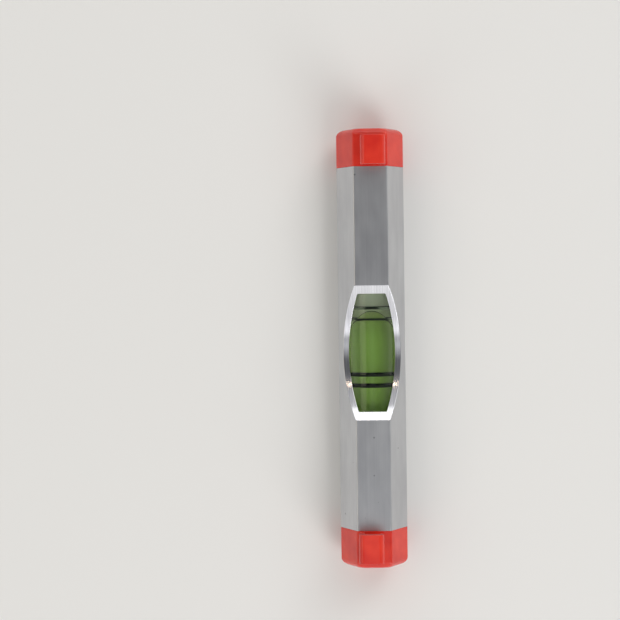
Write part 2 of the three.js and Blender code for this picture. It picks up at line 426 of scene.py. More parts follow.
@dataclass(frozen=True)
class WettedAcrylic(ClearAcrylic):
    """The wall of the cavity, where acrylic meets spirit.

    The two bend light almost alike, so the wall hardly shows, and the dye has stained it.
    """

    name: str = "acrylic_stained_by_spirit"
    tint: str = "#f6ffd8"
    ior: float = ACRYLIC_IOR / SPIRIT_IOR


@dataclass(frozen=True)
class GreenSpirit(Finish):
    """Mineral spirit dyed yellow green. Its skin bends nothing: the wall round it does that."""

    name: str = "green_spirit"
    dye: str = "#c8e2ab"
    strength_per_metre: float = 122.0

    def shade(self, tree: Tree, place: Source) -> dict[str, object]:
        """Adds a clear skin round a volume that takes out red and blue.

        Args:
            tree: the material's node tree.
            place: the object coordinates, which the spirit doesn't need.

        Returns:
            What goes into the material output, by the output's input names.
        """
        clear = {"Base Color": linear(WHITE), "Roughness": 0.0, "IOR": 1.0, "Transmission Weight": 1.0}
        dyed = {"Color": linear(self.dye), "Density": self.strength_per_metre}
        return {
            "Surface": add_node(tree, "ShaderNodeBsdfPrincipled", clear),
            "Volume": add_node(tree, "ShaderNodeVolumeAbsorption", dyed),
        }


@dataclass(frozen=True)
class AirInSpirit(Finish):
    """The bubble's skin: light bends the other way there, because the air inside is the thinner."""

    name: str = "air_in_spirit"
    ior: float = 1 / SPIRIT_IOR

    def shade(self, tree: Tree, place: Source) -> dict[str, object]:
        """Adds a clear shader with the ratio of air to spirit."""
        inputs = {"Color": linear(WHITE), "Roughness": 0.0, "IOR": self.ior}
        return {"Surface": add_node(tree, "ShaderNodeBsdfGlass", inputs)}


@dataclass(frozen=True)
class RingInk(Grained):
    """Black filling ink in the sight grooves, matt.

    On the barrel's flanks the ink is painted a lighter greenish grey: painted light, standing in for
    the ring's pale look where clear acrylic and not spirit lies behind it, the more so towards the
    solid end. The full ink reaches across the level to full_reach at full_place, and farther from
    there on by widening for each metre towards the filling end.
    """

    name: str = "black_groove_ink"
    deep: str = "#070f07"
    light: str = "#121f10"
    tone: Pattern = ((INK_PATCHES, 1.0),)
    tone_range: Range = (0.0, 1.0)
    sheen: Pattern = ((INK_PATCHES, 1.0),)
    roughness: Range = (0.5, 0.65)
    constants: Constants = DULL
    # The flank colour is painted light: a lighter grey where clear acrylic, not spirit, lies behind the
    # ring
    painted_flank_light: str = "#56624f"
    full_place: float = 7.0 * MM
    full_reach: float = 1.0 * MM
    widening: float = 0.865
    fade: float = 0.5 * MM

    def marks_and_painted_light(self, tree: Tree, place: Source, colour: Source) -> Source:
        """Paints light into the ink: it fades to a lighter grey on the barrel's flanks.

        Args:
            tree: the material's node tree.
            place: the object coordinates.
            colour: the colour of the full ink.

        Returns:
            The colour of the ink, with painted light on the flanks.
        """
        axes = add_node(tree, "ShaderNodeSeparateXYZ", {0: place}).outputs
        across = add_node(tree, "ShaderNodeMath", {0: axes["Y"]}, operation="ABSOLUTE")
        inputs = {0: axes["X"], 1: self.widening, 2: across}
        beyond = add_node(tree, "ShaderNodeMath", inputs, operation="MULTIPLY_ADD")
        edge = self.full_reach + self.widening * self.full_place
        # Painted light: past the dome's outline the ink fades to the lighter flank colour
        return faded(tree, beyond, (edge, edge + self.fade), colour, linear(self.painted_flank_light))


@dataclass(frozen=True)
class SettingCement(Grained):
    """Gypsum setting cement, off-white and chalky, with the grain that trowelled gypsum has."""

    name: str = "gypsum_cement"
    deep: str = "#d9d4c6"
    light: str = "#ebe7dc"
    tone: Pattern = ((CHALK, 1.0),)
    tone_range: Range = (0.0, 1.0)
    sheen: Pattern = ((CHALK, 1.0),)
    roughness: Range = (0.85, 0.95)
    relief: Pattern = ((CHALK, 1.0),)
    depth: float = 0.06 * MM


@dataclass(frozen=True)
class FloorCard(Finish):
    """The studio floor: pale, matt card."""

    name: str = "floor_card"
    tone: str = "#e3e2df"
    roughness: float = 0.9

    def shade(self, tree: Tree, place: Source) -> dict[str, object]:
        """Adds a plain matt tone."""
        inputs = {"Base Color": linear(self.tone), "Roughness": self.roughness} | dict(DULL)
        return {"Surface": add_node(tree, "ShaderNodeBsdfPrincipled", inputs)}


# Meshes


def new_object(name: str, mesh: bpy.types.Mesh) -> Object:
    """Puts a mesh in the scene.

    Args:
        name: the new object's name.
        mesh: its mesh.

    Returns:
        The new object.
    """
    made = bpy.data.objects.new(name, mesh)
    bpy.context.scene.collection.objects.link(made)
    return made


def from_bmesh(name: str, shape: bmesh.types.BMesh, finishes: Sequence[Finish]) -> Object:
    """Turns a closed bmesh into an object with its faces pointing out.

    Args:
        name: the object's name.
        shape: the shape, which is freed.
        finishes: the finishes that the faces' material numbers count.

    Returns:
        The new object.
    """
    bmesh.ops.recalc_face_normals(shape, faces=shape.faces)
    mesh = bpy.data.meshes.new(name)
    shape.to_mesh(mesh)
    shape.free()
    for finish in finishes:
        mesh.materials.append(finish.material())
    return new_object(name, mesh)


def settled(piece: Object, sharp_from: float = SHARP_FROM) -> Object:
    """Applies an object's modifiers and shades it smooth between its sharp edges.

    Args:
        piece: the object.
        sharp_from: the angle in degrees from which an edge stays sharp.

    Returns:
        The same object, with a plain mesh and no modifiers.
    """
    bpy.context.view_layer.update()
    graph = bpy.context.evaluated_depsgraph_get()
    mesh = bpy.data.meshes.new_from_object(piece.evaluated_get(graph), depsgraph=graph)
    piece.modifiers.clear()
    piece.data = mesh
    mesh.name = piece.name
    mesh.shade_smooth()
    mesh.set_sharp_from_angle(angle=math.radians(sharp_from))
    return piece


def shade_by_area(mesh: bpy.types.Mesh) -> None:
    """Lets the largest faces set the shading normals, so that flats beside a rounding shade flat.

    Args:
        mesh: the mesh. Faces that meet at a sharp edge don't share a normal.
    """
    least = math.cos(math.radians(SHARP_FROM))
    around: list[list[bpy.types.MeshPolygon]] = [[] for _ in mesh.vertices]
    for face in mesh.polygons:
        for corner in face.vertices:
            around[corner].append(face)
    normals = []
    for face in mesh.polygons:
        for corner in face.vertices:
            near = (other for other in around[corner] if other.normal.dot(face.normal) > least)
            total = sum((other.normal * other.area for other in near), Vector())
            normals.append(total.normalized())
    mesh.normals_split_custom_set(normals)


def combined(base: Object, tools: Iterable[tuple[Object, str]]) -> Object:
    """Joins tools to an object or cuts them from it.

    Args:
        base: the object that stays.
        tools: each tool with UNION or DIFFERENCE. The tools are removed.

    Returns:
        The base, with its new mesh.
    """
    for tool, operation in tools:
        cut = base.modifiers.new("cut", "BOOLEAN")
        cut.object, cut.operation, cut.solver = tool, operation, "EXACT"
        settled(base)
        bpy.data.objects.remove(tool)
    return base


def eased(piece: Object, radius: float, steps: int, from_angle: float) -> None:
    """Rounds every edge of an object that is sharper than an angle.

    Args:
        piece: the object.
        radius: how far back from the edge the rounding starts.
        steps: the facets across the rounding.
        from_angle: the least angle in degrees between two faces that counts as an edge.
    """
    bevel = piece.modifiers.new("ease", "BEVEL")
    bevel.width = radius
    bevel.segments = steps
    bevel.limit_method = "ANGLE"
    bevel.angle_limit = math.radians(from_angle)
    bevel.use_clamp_overlap = False
    bevel.miter_outer = "MITER_ARC"
    shade_by_area(settled(piece).data)


def hexagon(across_flats: float, corner_radius: float, steps: int) -> Profile:
    """Draws a hexagon with round corners and a flat at the top and the bottom.

    Args:
        across_flats: the distance between opposite flats.
        corner_radius: the radius of the corners.
        steps: the facets of each corner.

    Returns:
        The points as (y, height over the middle), anticlockwise.
    """
    reach = (across_flats / 2 - corner_radius) / FLATS_SHARE
    points = []
    for corner in range(6):
        middle = corner * math.pi / 3
        for step in range(steps + 1):
            angle = middle + math.pi / 3 * (step / steps - 0.5)
            y = reach * math.cos(middle) + corner_radius * math.cos(angle)
            points.append((y, reach * math.sin(middle) + corner_radius * math.sin(angle)))
    return points


def joined(
    shape: bmesh.types.BMesh,
    rings: Sequence[Sequence[bmesh.types.BMVert]],
    finish_of: Callable[[int], int] = lambda segment: 0,
) -> None:
    """Joins each ring of points to the next one.

    Args:
        shape: the shape that holds the points.
        rings: rings that all have the same number of points. A pole is its one point, repeated.
        finish_of: gives the number of the finish on the segment that starts at a ring.
    """
    for segment, (ring, following) in enumerate(zip(rings, rings[1:])):
        for side in range(len(ring)):
            after = (side + 1) % len(ring)
            corners = (ring[side], ring[after], following[after], following[side])
            face = shape.faces.new(list(dict.fromkeys(corners)))
            face.material_index = finish_of(segment)


def loft(name: str, stations: Sequence[tuple[float, Profile]], height: float, finish: Finish) -> Object:
    """Makes a solid through outlines that all have the same number of points.

    Args:
        name: the object's name.
        stations: each outline with its place along X.
        height: the height of the outlines' middle.
        finish: the solid's finish.

    Returns:
        The new object.
    """
    shape = bmesh.new()
    rings = [[shape.verts.new((x, y, height + z)) for y, z in outline] for x, outline in stations]
    joined(shape, rings)
    shape.faces.new(rings[0])
    shape.faces.new(rings[-1])
    return from_bmesh(name, shape, [finish])


def turned(
    name: str,
    profile: Profile,
    axis_height: float,
    finishes: Sequence[Finish],
    finish_of: Callable[[int], int] = lambda segment: 0,
    sides: int = 128,
) -> Object:
    """Turns a closed profile round an axis along X.

    Args:
        name: the object's name.
        profile: the points as (x, radius). It starts and ends on the axis, or closes on itself.
        axis_height: the height of the axis.
        finishes: the finishes in use.
        finish_of: gives the number of the finish on the segment that starts at a point.
        sides: the facets round the axis.

    Returns:
        The new object.
    """
    shape = bmesh.new()
    turns = [2 * math.pi * side / sides for side in range(sides)]
    compass = [(math.cos(angle), math.sin(angle)) for angle in turns]
    rings = []
    for x, radius in profile:
        if radius > 0:
            places = [(x, radius * across, axis_height + radius * up) for across, up in compass]
            rings.append([shape.verts.new(place) for place in places])
        else:
            rings.append([shape.verts.new((x, 0, axis_height))] * sides)
    if profile[0][1] > 0:
        rings.append(rings[0])
    joined(shape, rings, finish_of)
    return settled(from_bmesh(name, shape, finishes))


def geometry_tree(name: str, sockets: dict[str, str]) -> tuple[Tree, Node]:
    """Starts a geometry node tree with named inputs and one geometry output.

    Args:
        name: the tree's name.
        sockets: each input's name with its socket type.

    Returns:
        The tree and its group input node.
    """
    tree = bpy.data.node_groups.new(name, "GeometryNodeTree")
    for label, kind in sockets.items():
        tree.interface.new_socket(label, in_out="INPUT", socket_type=kind)
    tree.interface.new_socket("Geometry", in_out="OUTPUT", socket_type="NodeSocketGeometry")
    return tree, add_node(tree, "NodeGroupInput")


def grown(name: str, tree: Tree, values: dict[str, object]) -> Object:
    """Runs a geometry node tree and keeps what it makes as a plain mesh.

    Args:
        name: the new object's name.
        tree: the tree.
        values: the value of each named input.

    Returns:
        The new object.
    """
    made = new_object(name, bpy.data.meshes.new(name))
    grower = made.modifiers.new("grow", "NODES")
    grower.node_group = tree
    for item in tree.interface.items_tree:
        if item.in_out == "INPUT":
            grower[item.identifier] = values[item.name]
    return settled(made)


# Tube


@dataclass
class TubeBody:
    """The hexagonal tube with the window that a round cutter scooped across its top."""

    wall: float = 0.9 * MM
    corner_radius: float = 0.4 * MM
    bore_corner_radius: float = 0.2 * MM
    window_length: float = 23.3 * MM
    window_depth: float = 3.6 * MM
    window_centre: float = -0.7 * MM
    edge_ease: float = 0.05 * MM
    ease_steps: int = 2
    ease_from: float = 20.0
    corner_steps: int = 10
    cutter_steps: int = 720
    overrun: float = 1.0 * MM

    def __post_init__(self) -> None:
        """Reads the tube's length and size across flats from the frame."""
        low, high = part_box("body_tube")
        self.half_length = high.x
        self.across_flats = high.z - low.z

    def section_tree(self) -> Tree:
        """Builds the tree that draws a tube along X and cuts its bore and its window.

        Each solid gets its material before the cuts, which give it to the faces that they make.

        Returns:
            The tree.
        """
        numbers = (
            "Half Length",
            "Across Flats",
            "Corner Radius",
            "Bore Across Flats",
            "Bore Corner Radius",
            "Overrun",
            "Cutter Radius",
        )
        sockets = dict.fromkeys(numbers, "NodeSocketFloat")
        sockets |= {"Cutter Place": "NodeSocketVector"}
        sockets |= dict.fromkeys(("Corner Steps", "Cutter Steps"), "NodeSocketInt")
        sockets |= dict.fromkeys(("Skin", "Bore", "Cut"), "NodeSocketMaterial")
        tree, given = geometry_tree("hexagonal_tube", sockets)
        value = given.outputs
        half = add_node(tree, "ShaderNodeMath", {0: value["Across Flats"], 1: 2.0}, operation="DIVIDE")
        lift = add_node(tree, "ShaderNodeCombineXYZ", {"Z": half})

        def bar(across: Source, radius: Source, overruns: float, finish: str) -> Source:
            """Adds a solid hexagonal bar along the tube's axis.

            Args:
                across: the size across flats.
                radius: the radius of the corners.
                overruns: how many overruns the bar reaches past each end of the tube.
                finish: the input that holds the bar's material.

            Returns:
                The bar.
            """
            reach = add_node(tree, "ShaderNodeMath", {0: across, 1: 2 * FLATS_SHARE}, operation="DIVIDE")
            outline = add_node(
                tree, "GeometryNodeCurvePrimitiveCircle", {"Resolution": 6, "Radius": reach}
            )
            inputs = {"Curve": outline, "Count": value["Corner Steps"], "Radius": radius}
            rounded = add_node(tree, "GeometryNodeFilletCurve", inputs, mode="POLY")
            inputs = {0: value["Overrun"], 1: overruns, 2: value["Half Length"]}
            end = add_node(tree, "ShaderNodeMath", inputs, operation="MULTIPLY_ADD")
            start = add_node(tree, "ShaderNodeMath", {0: end, 1: -1.0}, operation="MULTIPLY")
            places = [add_node(tree, "ShaderNodeCombineXYZ", {"X": x}) for x in (start, end)]
            inputs = {"Start": places[0], "End": places[1]}
            line = add_node(tree, "GeometryNodeCurvePrimitiveLine", inputs)
            inputs = {"Curve": line, "Profile Curve": rounded, "Fill Caps": True}
            solid = add_node(tree, "GeometryNodeCurveToMesh", inputs)
            moved = add_node(tree, "GeometryNodeTransform", {"Geometry": solid, "Translation": lift})
            inputs = {"Geometry": moved, "Material": value[finish]}
            return add_node(tree, "GeometryNodeSetMaterial", inputs)

        solid = bar(value["Across Flats"], value["Corner Radius"], 0.0, "Skin")
        bore = bar(value["Bore Across Flats"], value["Bore Corner Radius"], 1.0, "Bore")
        radius = value["Cutter Radius"]
        inputs = {"Vertices": value["Cutter Steps"], "Radius": radius, "Depth": radius}
        wheel = add_node(tree, "GeometryNodeMeshCylinder", inputs)
        turn = (math.pi / 2, 0.0, 0.0)
        inputs = {"Geometry": wheel, "Translation": value["Cutter Place"], "Rotation": turn}
        stood = add_node(tree, "GeometryNodeTransform", inputs)
        inputs = {"Geometry": stood, "Material": value["Cut"]}
        cutter = add_node(tree, "GeometryNodeSetMaterial", inputs)
        exact = {"operation": "DIFFERENCE", "solver": "EXACT"}
        for tool in (bore, cutter):
            solid = add_node(tree, "GeometryNodeMeshBoolean", {0: solid, 1: tool}, **exact)
        real = add_node(tree, "GeometryNodeRealizeInstances", {0: solid})
        add_node(tree, "NodeGroupOutput", {0: real})
        return tree

    def build(self) -> Object:
        """Makes the tube in place of its CAD node.

        Returns:
            The tube.
        """
        cutter_radius = (self.window_length**2 / 4 + self.window_depth**2) / (2 * self.window_depth)
        floor = self.across_flats - self.window_depth
        tube = grown(
            "tube_hexagonal",
            self.section_tree(),
            {
                "Half Length": self.half_length,
                "Across Flats": self.across_flats,
                "Corner Radius": self.corner_radius,
                "Bore Across Flats": self.across_flats - 2 * self.wall,
                "Bore Corner Radius": self.bore_corner_radius,
                "Overrun": self.overrun,
                "Cutter Radius": cutter_radius,
                "Cutter Place": (self.window_centre, 0.0, floor + cutter_radius),
                "Corner Steps": self.corner_steps,
                "Cutter Steps": self.cutter_steps,
                "Skin": SatinAnodised().material(),
                "Bore": ExtrudedBore().material(),
                "Cut": MilledAluminium().material(),
            },
        )
        eased(tube, self.edge_ease, self.ease_steps, self.ease_from)
        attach(tube, "level")
        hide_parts("body_tube")
        return tube


# End caps


class End(Enum):
    """The two ends of the level, each with its CAD node and its half turn from the +X end."""

    RIGHT = ("end_cap_right", 0.0)
    LEFT = ("end_cap_left", math.pi)

    @property
    def node(self) -> str:
        """The CAD node at this end."""
        return self.value[0]

    @property
    def turn(self) -> float:
        """The turn about the vertical from the +X end, in radians."""
        return self.value[1]


@dataclass
class EndCap:
    """One moulding: block, spigot and line hook. It is drawn at the +X end and turned to its own."""

    end: End
    across_flats: float = 10.2 * MM
    corner_radius: float = 0.4 * MM
    end_radius: float = 1.2 * MM
    end_roundness: float = 1.6
    bore_across_flats: float = 8.4 * MM
    spigot_clearance: float = 0.1 * MM
    spigot_lead_in: float = 0.5 * MM
    spigot_corner_radius: float = 0.2 * MM
    core_diameter: float = 5.4 * MM
    core_floor: float = 3.6 * MM
    hook_length: float = 5.0 * MM
    hook_setback: float = 0.2 * MM
    seat_width: float = 3.3 * MM
    seat_height: float = 2.1 * MM
    post_width: float = 1.0 * MM
    finger_height: float = 1.3 * MM
    lip_width: float = 0.7 * MM
    lip_drop: float = 0.5 * MM
    outer_radius: float = 0.9 * MM
    inner_radius: float = 0.4 * MM
    tip_radius: float = 0.3 * MM
    root: float = 0.8 * MM
    edge_ease: float = 0.09 * MM
    ease_steps: int = 3
    ease_from: float = 33.0
    corner_steps: int = 10
    end_steps: int = 12
    hook_steps: int = 8
    overrun: float = 1.0 * MM
    plastic: MouldedCapPlastic = MouldedCapPlastic()

    def __post_init__(self) -> None:
        """Reads the places of the tube's end and of both ends of the cap from the frame."""
        self.tube_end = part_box("body_tube")[1].x
        low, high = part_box(End.RIGHT.node)
        self.spigot_end, self.cap_end = low.x, high.x
        self.axis_height = self.across_flats / 2

    def block(self) -> Object:
        """Makes the part that shows: the tube's hexagon, rounded off towards its end.

        Returns:
            The block.
        """
        stations = [(self.tube_end, hexagon(self.across_flats, self.corner_radius, self.corner_steps))]
        for step in range(self.end_steps + 1):
            angle = math.pi / 2 * step / self.end_steps
            inset = self.end_radius * (1 - math.cos(angle))
            x = self.cap_end - self.end_radius * (1 - math.sin(angle))
            radius = self.corner_radius + self.end_roundness * inset
            stations.append((x, hexagon(self.across_flats - 2 * inset, radius, self.corner_steps)))
        return loft("block", stations, self.axis_height, self.plastic)

    def spigot(self) -> Object:
        """Makes the plug that the tube takes, with its lead-in.

        Returns:
            The spigot.
        """
        across = self.bore_across_flats - 2 * self.spigot_clearance
        tip, full = (
            hexagon(width, self.spigot_corner_radius, self.corner_steps)
            for width in (across - 2 * self.spigot_lead_in, across)
        )
        lead_in_end = self.spigot_end + self.spigot_lead_in
        stations = [(self.spigot_end, tip), (lead_in_end, full), (self.tube_end + self.root, full)]
        return loft("spigot", stations, self.axis_height, self.plastic)

    def hook_outline(self) -> Profile:
        """Draws the hook as seen along the level.

        Returns:
            The points as (y, height over the cap's top facet), anticlockwise.
        """
        seat = self.seat_width / 2
        post = seat + self.post_width
        crown = self.seat_height + self.finger_height
        shoulder = crown - self.outer_radius
        foot = self.seat_height - self.lip_drop

        def arc(middle: tuple[float, float], radius: float, start: int, end: int) -> Profile:
            """Draws an arc.

            Args:
                middle: the arc's centre.
                radius: its radius.
                start: the angle that it starts at, in degrees.
                end: the angle that it ends at, in degrees.

            Returns:
                The points along the arc.
            """
            shares = [step / self.hook_steps for step in range(self.hook_steps + 1)]
            angles = [math.radians(start + (end - start) * share) for share in shares]
            return [(middle[0] + radius * math.cos(a), middle[1] + radius * math.sin(a)) for a in angles]

        inner = (self.inner_radius - seat, self.seat_height - self.inner_radius)
        return [
            (-seat, -self.root),
            *arc(inner, self.inner_radius, 180, 90),
            (seat - self.lip_width, self.seat_height),
            (seat - self.lip_width, foot),
            *arc((seat - self.tip_radius, foot + self.tip_radius), self.tip_radius, -90, 0),
            *arc((seat - self.outer_radius, shoulder), self.outer_radius, 0, 90),
            *arc((self.outer_radius - post, shoulder), self.outer_radius, 90, 180),
            (-post, -self.root),
        ]

    def hook(self) -> Object:
        """Makes the bent finger that the line runs under.

        Returns:
            The hook.
        """
        outline = self.hook_outline()
        start = self.tube_end + self.hook_setback
        stations = [(x, outline) for x in (start, start + self.hook_length)]
        return loft("hook", stations, self.across_flats, self.plastic)

    def core(self) -> Object:
        """Makes the round core pin that hollows the spigot.

        Returns:
            The pin.
        """
        start = self.spigot_end - self.overrun
        floor = self.cap_end - self.core_floor
        radius = self.core_diameter / 2
        profile = [(start, 0.0), (start, radius), (floor, radius), (floor, 0.0)]
        return turned("core", profile, self.axis_height, [self.plastic])

    def build(self) -> Object:
        """Makes the cap in place of its CAD node.

        Returns:
            The cap.
        """
        cap = combined(
            self.block(),
            [(self.spigot(), "UNION"), (self.hook(), "UNION"), (self.core(), "DIFFERENCE")],
        )
        eased(cap, self.edge_ease, self.ease_steps, self.ease_from)
        cap.data.transform(Matrix.Rotation(self.end.turn, 4, "Z"))
        cap.name = f"moulded_{self.end.node}"
        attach(cap, "level")
        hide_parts(self.end.node)
        return cap


# Vial


@dataclass
class SightVial:
    """The vial: barrel, filling plug, spirit, bubble and sight rings, on the tube's axis."""

    axis_height: float = 5.1 * MM
    centre: float = 0.2 * MM
    radius: float = 4.1 * MM
    edge_chamfer: float = 0.4 * MM
    cavity_wall: float = 1.1 * MM
    crown_radius: float = 900.0 * MM
    nose_reach: float = 6.3 * MM
    nose_length: float = 4.0 * MM
    socket_wall: float = 0.8 * MM
    plug_clearance: float = 0.05 * MM
    plug_chamfer: float = 0.3 * MM
    ring_places: tuple[float, ...] = (6.8 * MM, 4.87 * MM, -4.87 * MM, -6.8 * MM)
    ring_width: float = 0.36 * MM
    ring_depth: float = 0.16 * MM
    ring_hold: float = 0.01 * MM
    ring_edge: float = 0.03 * MM
    spirit_margin: float = 0.01 * MM
    bubble_flatness: float = 10.0
    bubble_sharp_from: float = 80.0
    crown_steps: int = 24
    nose_steps: int = 28
    bubble_steps: int = 18
    bubble_sides: int = 72
    ring_sides: int = 160
    ring_edge_steps: int = 3

    def __post_init__(self) -> None:
        """Reads where the barrel's ends and the plug's inner face are from the frame."""
        low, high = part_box("vial_barrel")
        self.open_end = self.centre - low.x
        self.solid_end = high.x - self.centre
        self.plug_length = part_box("vial_end_plug")[1].x - low.x

    def cavity(self, margin: float) -> Profile:
        """Draws the cavity's wall from the filling end to the tip of its nose.

        Args:
            margin: how far the wall is drawn in.

        Returns:
            The points as (x, radius).
        """
        floor = self.plug_length - self.open_end
        radius = self.radius - self.cavity_wall
        crown_end = self.nose_reach - self.nose_length
        nose_radius = radius - crown_end**2 / (2 * self.crown_radius)
        points = []
        for step in range(self.crown_steps + 1):
            x = floor + margin + (crown_end - floor - margin) * step / self.crown_steps
            points.append((self.centre + x, radius - x**2 / (2 * self.crown_radius) - margin))
        for step in range(self.nose_steps - 1, -1, -1):
            share = step / self.nose_steps
            x = self.nose_reach - margin - (self.nose_length - margin) * share**2
            points.append((self.centre + x, (nose_radius - margin) * share))
        return points

    def barrel(self) -> Object:
        """Makes the clear barrel with its grooves, its cavity and the socket for the plug.

        Returns:
            The barrel.
        """
        face = self.radius - self.edge_chamfer
        floor = self.radius - self.ring_depth
        socket = self.radius - self.socket_wall
        outside = [(self.solid_end, 0.0), (self.solid_end, face)]
        outside.append((self.solid_end - self.edge_chamfer, self.radius))
        for place in self.ring_places:
            right, left = place + self.ring_width / 2, place - self.ring_width / 2
            outside += [(right, self.radius), (right, floor), (left, floor), (left, self.radius)]
        outside.append((self.edge_chamfer - self.open_end, self.radius))
        outside += [(-self.open_end, face), (-self.open_end, socket)]
        outside.append((self.plug_length - self.open_end, socket))
        wall_start = len(outside)
        return turned(
            "vial_barrel_clear",
            [(self.centre + x, radius) for x, radius in outside] + self.cavity(0.0),
            self.axis_height,
            [ClearAcrylic(), WettedAcrylic()],
            lambda segment: int(segment >= wall_start),
        )

    def plug(self) -> Object:
        """Makes the plug that closes the filling end.

        Returns:
            The plug.
        """
        radius = self.radius - self.socket_wall - self.plug_clearance
        start, end = self.centre - self.open_end, self.centre + self.plug_length - self.open_end
        profile = [
            (start, 0.0),
            (start, radius - self.plug_chamfer),
            (start + self.plug_chamfer, radius),
            (end, radius),
            (end, 0.0),
        ]
        return turned("filling_plug", profile, self.axis_height, [ClearAcrylic()])

    def spirit(self) -> Object:
        """Makes the spirit, which fills the whole cavity so that it closes behind the bubble."""
        wall = self.cavity(self.spirit_margin)
        return turned("spirit", [(wall[0][0], 0.0), *wall], self.axis_height, [GreenSpirit()])

    def bubble(self) -> Object:
        """Makes the bubble: long, round-ended and flattened against the top of the cavity.

        Returns:
            The bubble.
        """
        low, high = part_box("vial_bubble")
        middle = (low + high) / 2
        half = (high - low) / 2
        roof = high.z - self.axis_height
        rise = middle.z - self.axis_height
        straight = half.x - half.y
        power = self.bubble_flatness
        sides = self.bubble_sides
        shape = bmesh.new()

        def ring(x: float, share: float) -> list[bmesh.types.BMVert]:
            """Adds one section under the cavity's roof.

            Args:
                x: its distance from the bubble's middle.
                share: its width as a share of the bubble's.

            Returns:
                The section's points.
            """
            points = []
            for side in range(sides):
                angle = 2 * math.pi * side / sides
                across, up = math.cos(angle), math.sin(angle)
                own = share / math.hypot(across / half.y, up / half.z)
                reach = math.sqrt(roof**2 - (rise * across) ** 2) - rise * up
                radius = (own**-power + reach**-power) ** (-1 / power)
                place = (middle.x + x, radius * across, middle.z + radius * up)
                points.append(shape.verts.new(place))
            return points

        angles = [math.pi / 2 * step / self.bubble_steps for step in range(1, self.bubble_steps + 1)]
        stations = [(-straight - half.y * math.cos(a), math.sin(a)) for a in angles]
        stations += [(straight + half.y * math.cos(a), math.sin(a)) for a in reversed(angles)]
        rings = [ring(x, share) for x, share in stations]
        first, last = ([shape.verts.new((x, 0, middle.z))] * sides for x in (low.x, high.x))
        joined(shape, [first, *rings, last])
        bubble = from_bmesh("bubble_of_air", shape, [AirInSpirit()])
        return settled(bubble, self.bubble_sharp_from)

    def ring_tree(self) -> Tree:
        """Builds the tree that lays one band of ink round the barrel.

        Returns:
            The tree.
        """
        sockets = dict.fromkeys(("Radius", "Width", "Depth", "Edge"), "NodeSocketFloat")
        sockets |= dict.fromkeys(("Sides", "Edge Steps"), "NodeSocketInt")
        sockets |= {"Middle": "NodeSocketVector", "Ink": "NodeSocketMaterial"}
        tree, given = geometry_tree("sight_ring_band", sockets)
        value = given.outputs
        inputs = {"Resolution": value["Sides"], "Radius": value["Radius"]}
        path = add_node(tree, "GeometryNodeCurvePrimitiveCircle", inputs)
        inputs = {"Width": value["Depth"], "Height": value["Width"]}
        section = add_node(tree, "GeometryNodeCurvePrimitiveQuadrilateral", inputs)
        inputs = {"Curve": section, "Count": value["Edge Steps"], "Radius": value["Edge"]}
        rounded = add_node(tree, "GeometryNodeFilletCurve", inputs, mode="POLY")
        band = add_node(tree, "GeometryNodeCurveToMesh", {"Curve": path, "Profile Curve": rounded})
        turn = (0.0, math.pi / 2, 0.0)
        inputs = {"Geometry": band, "Translation": value["Middle"], "Rotation": turn}
        stood = add_node(tree, "GeometryNodeTransform", inputs)
        real = add_node(tree, "GeometryNodeRealizeInstances", {0: stood})
        inputs = {"Geometry": real, "Material": value["Ink"]}
        inked = add_node(tree, "GeometryNodeSetMaterial", inputs)
        add_node(tree, "NodeGroupOutput", {0: inked})
        return tree

    def rings(self) -> list[Object]:
        """Makes the four sight rings, each proud of its groove by the thickness of its ink.

        Returns:
            The rings, from the solid end on.
        """
        tree = self.ring_tree()
        values = {
            "Radius": self.radius - self.ring_depth / 2,
            "Width": self.ring_width + 2 * self.ring_hold,
            "Depth": self.ring_depth + 2 * self.ring_hold,
            "Edge": self.ring_edge,
            "Sides": self.ring_sides,
            "Edge Steps": self.ring_edge_steps,
            "Ink": RingInk().material(),
        }
        made = []
        for number, place in enumerate(self.ring_places, start=1):
            values["Middle"] = (self.centre + place, 0.0, self.axis_height)
            made.append(grown(f"sight_ring_{number}_inked", tree, values))
        return made

    def build(self) -> list[Object]:
        """Makes the vial's pieces in place of their CAD nodes, and dresses the cement behind it.

        Returns:
            The new pieces.
        """
        dressed = [
            (self.barrel(), "level", "vial_barrel", "vial_acrylic"),
            (self.plug(), "level", "vial_end_plug", "vial_acrylic"),
            (self.spirit(), "level", "vial_fluid", "vial_spirit"),
            (self.bubble(), "bubble", "vial_bubble", "vial_air"),
        ]
        dressed += [
            (ring, "level", f"sight_ring_{number}", "ring_ink")
            for number, ring in enumerate(self.rings(), start=1)
        ]
        for piece, body, node, slot in dressed:
            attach(piece, body)
            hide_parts(node)
        for node in ("vial_cement_right", "vial_cement_left"):
            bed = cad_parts[node]
            bed.data.materials.clear()
            bed.data.materials.append(SettingCement().material())
        return [row[0] for row in dressed]


# Studio


@dataclass(frozen=True)
class Softbox:
    """A rectangular lamp that faces the level. At a brightness of 1 it shows as white."""

    name: str
    place: tuple[float, float, float]
    size: tuple[float, float]
    brightness: float
    tone: str = WHITE

    def build(self) -> None:
        """Puts the lamp in the scene, where the camera doesn't see it."""
        lamp = bpy.data.lights.new(self.name, "AREA")
        lamp.shape = "RECTANGLE"
        lamp.size, lamp.size_y = self.size
        lamp.energy = self.brightness * math.pi * self.size[0] * self.size[1]
        lamp.color = linear(self.tone)[:3]
        made = bpy.data.objects.new(self.name, lamp)
        made.location = self.place
        made.rotation_euler = (-Vector(self.place)).to_track_quat("-Z", "Y").to_euler()
        made.visible_camera = False
        bpy.context.scene.collection.objects.link(made)


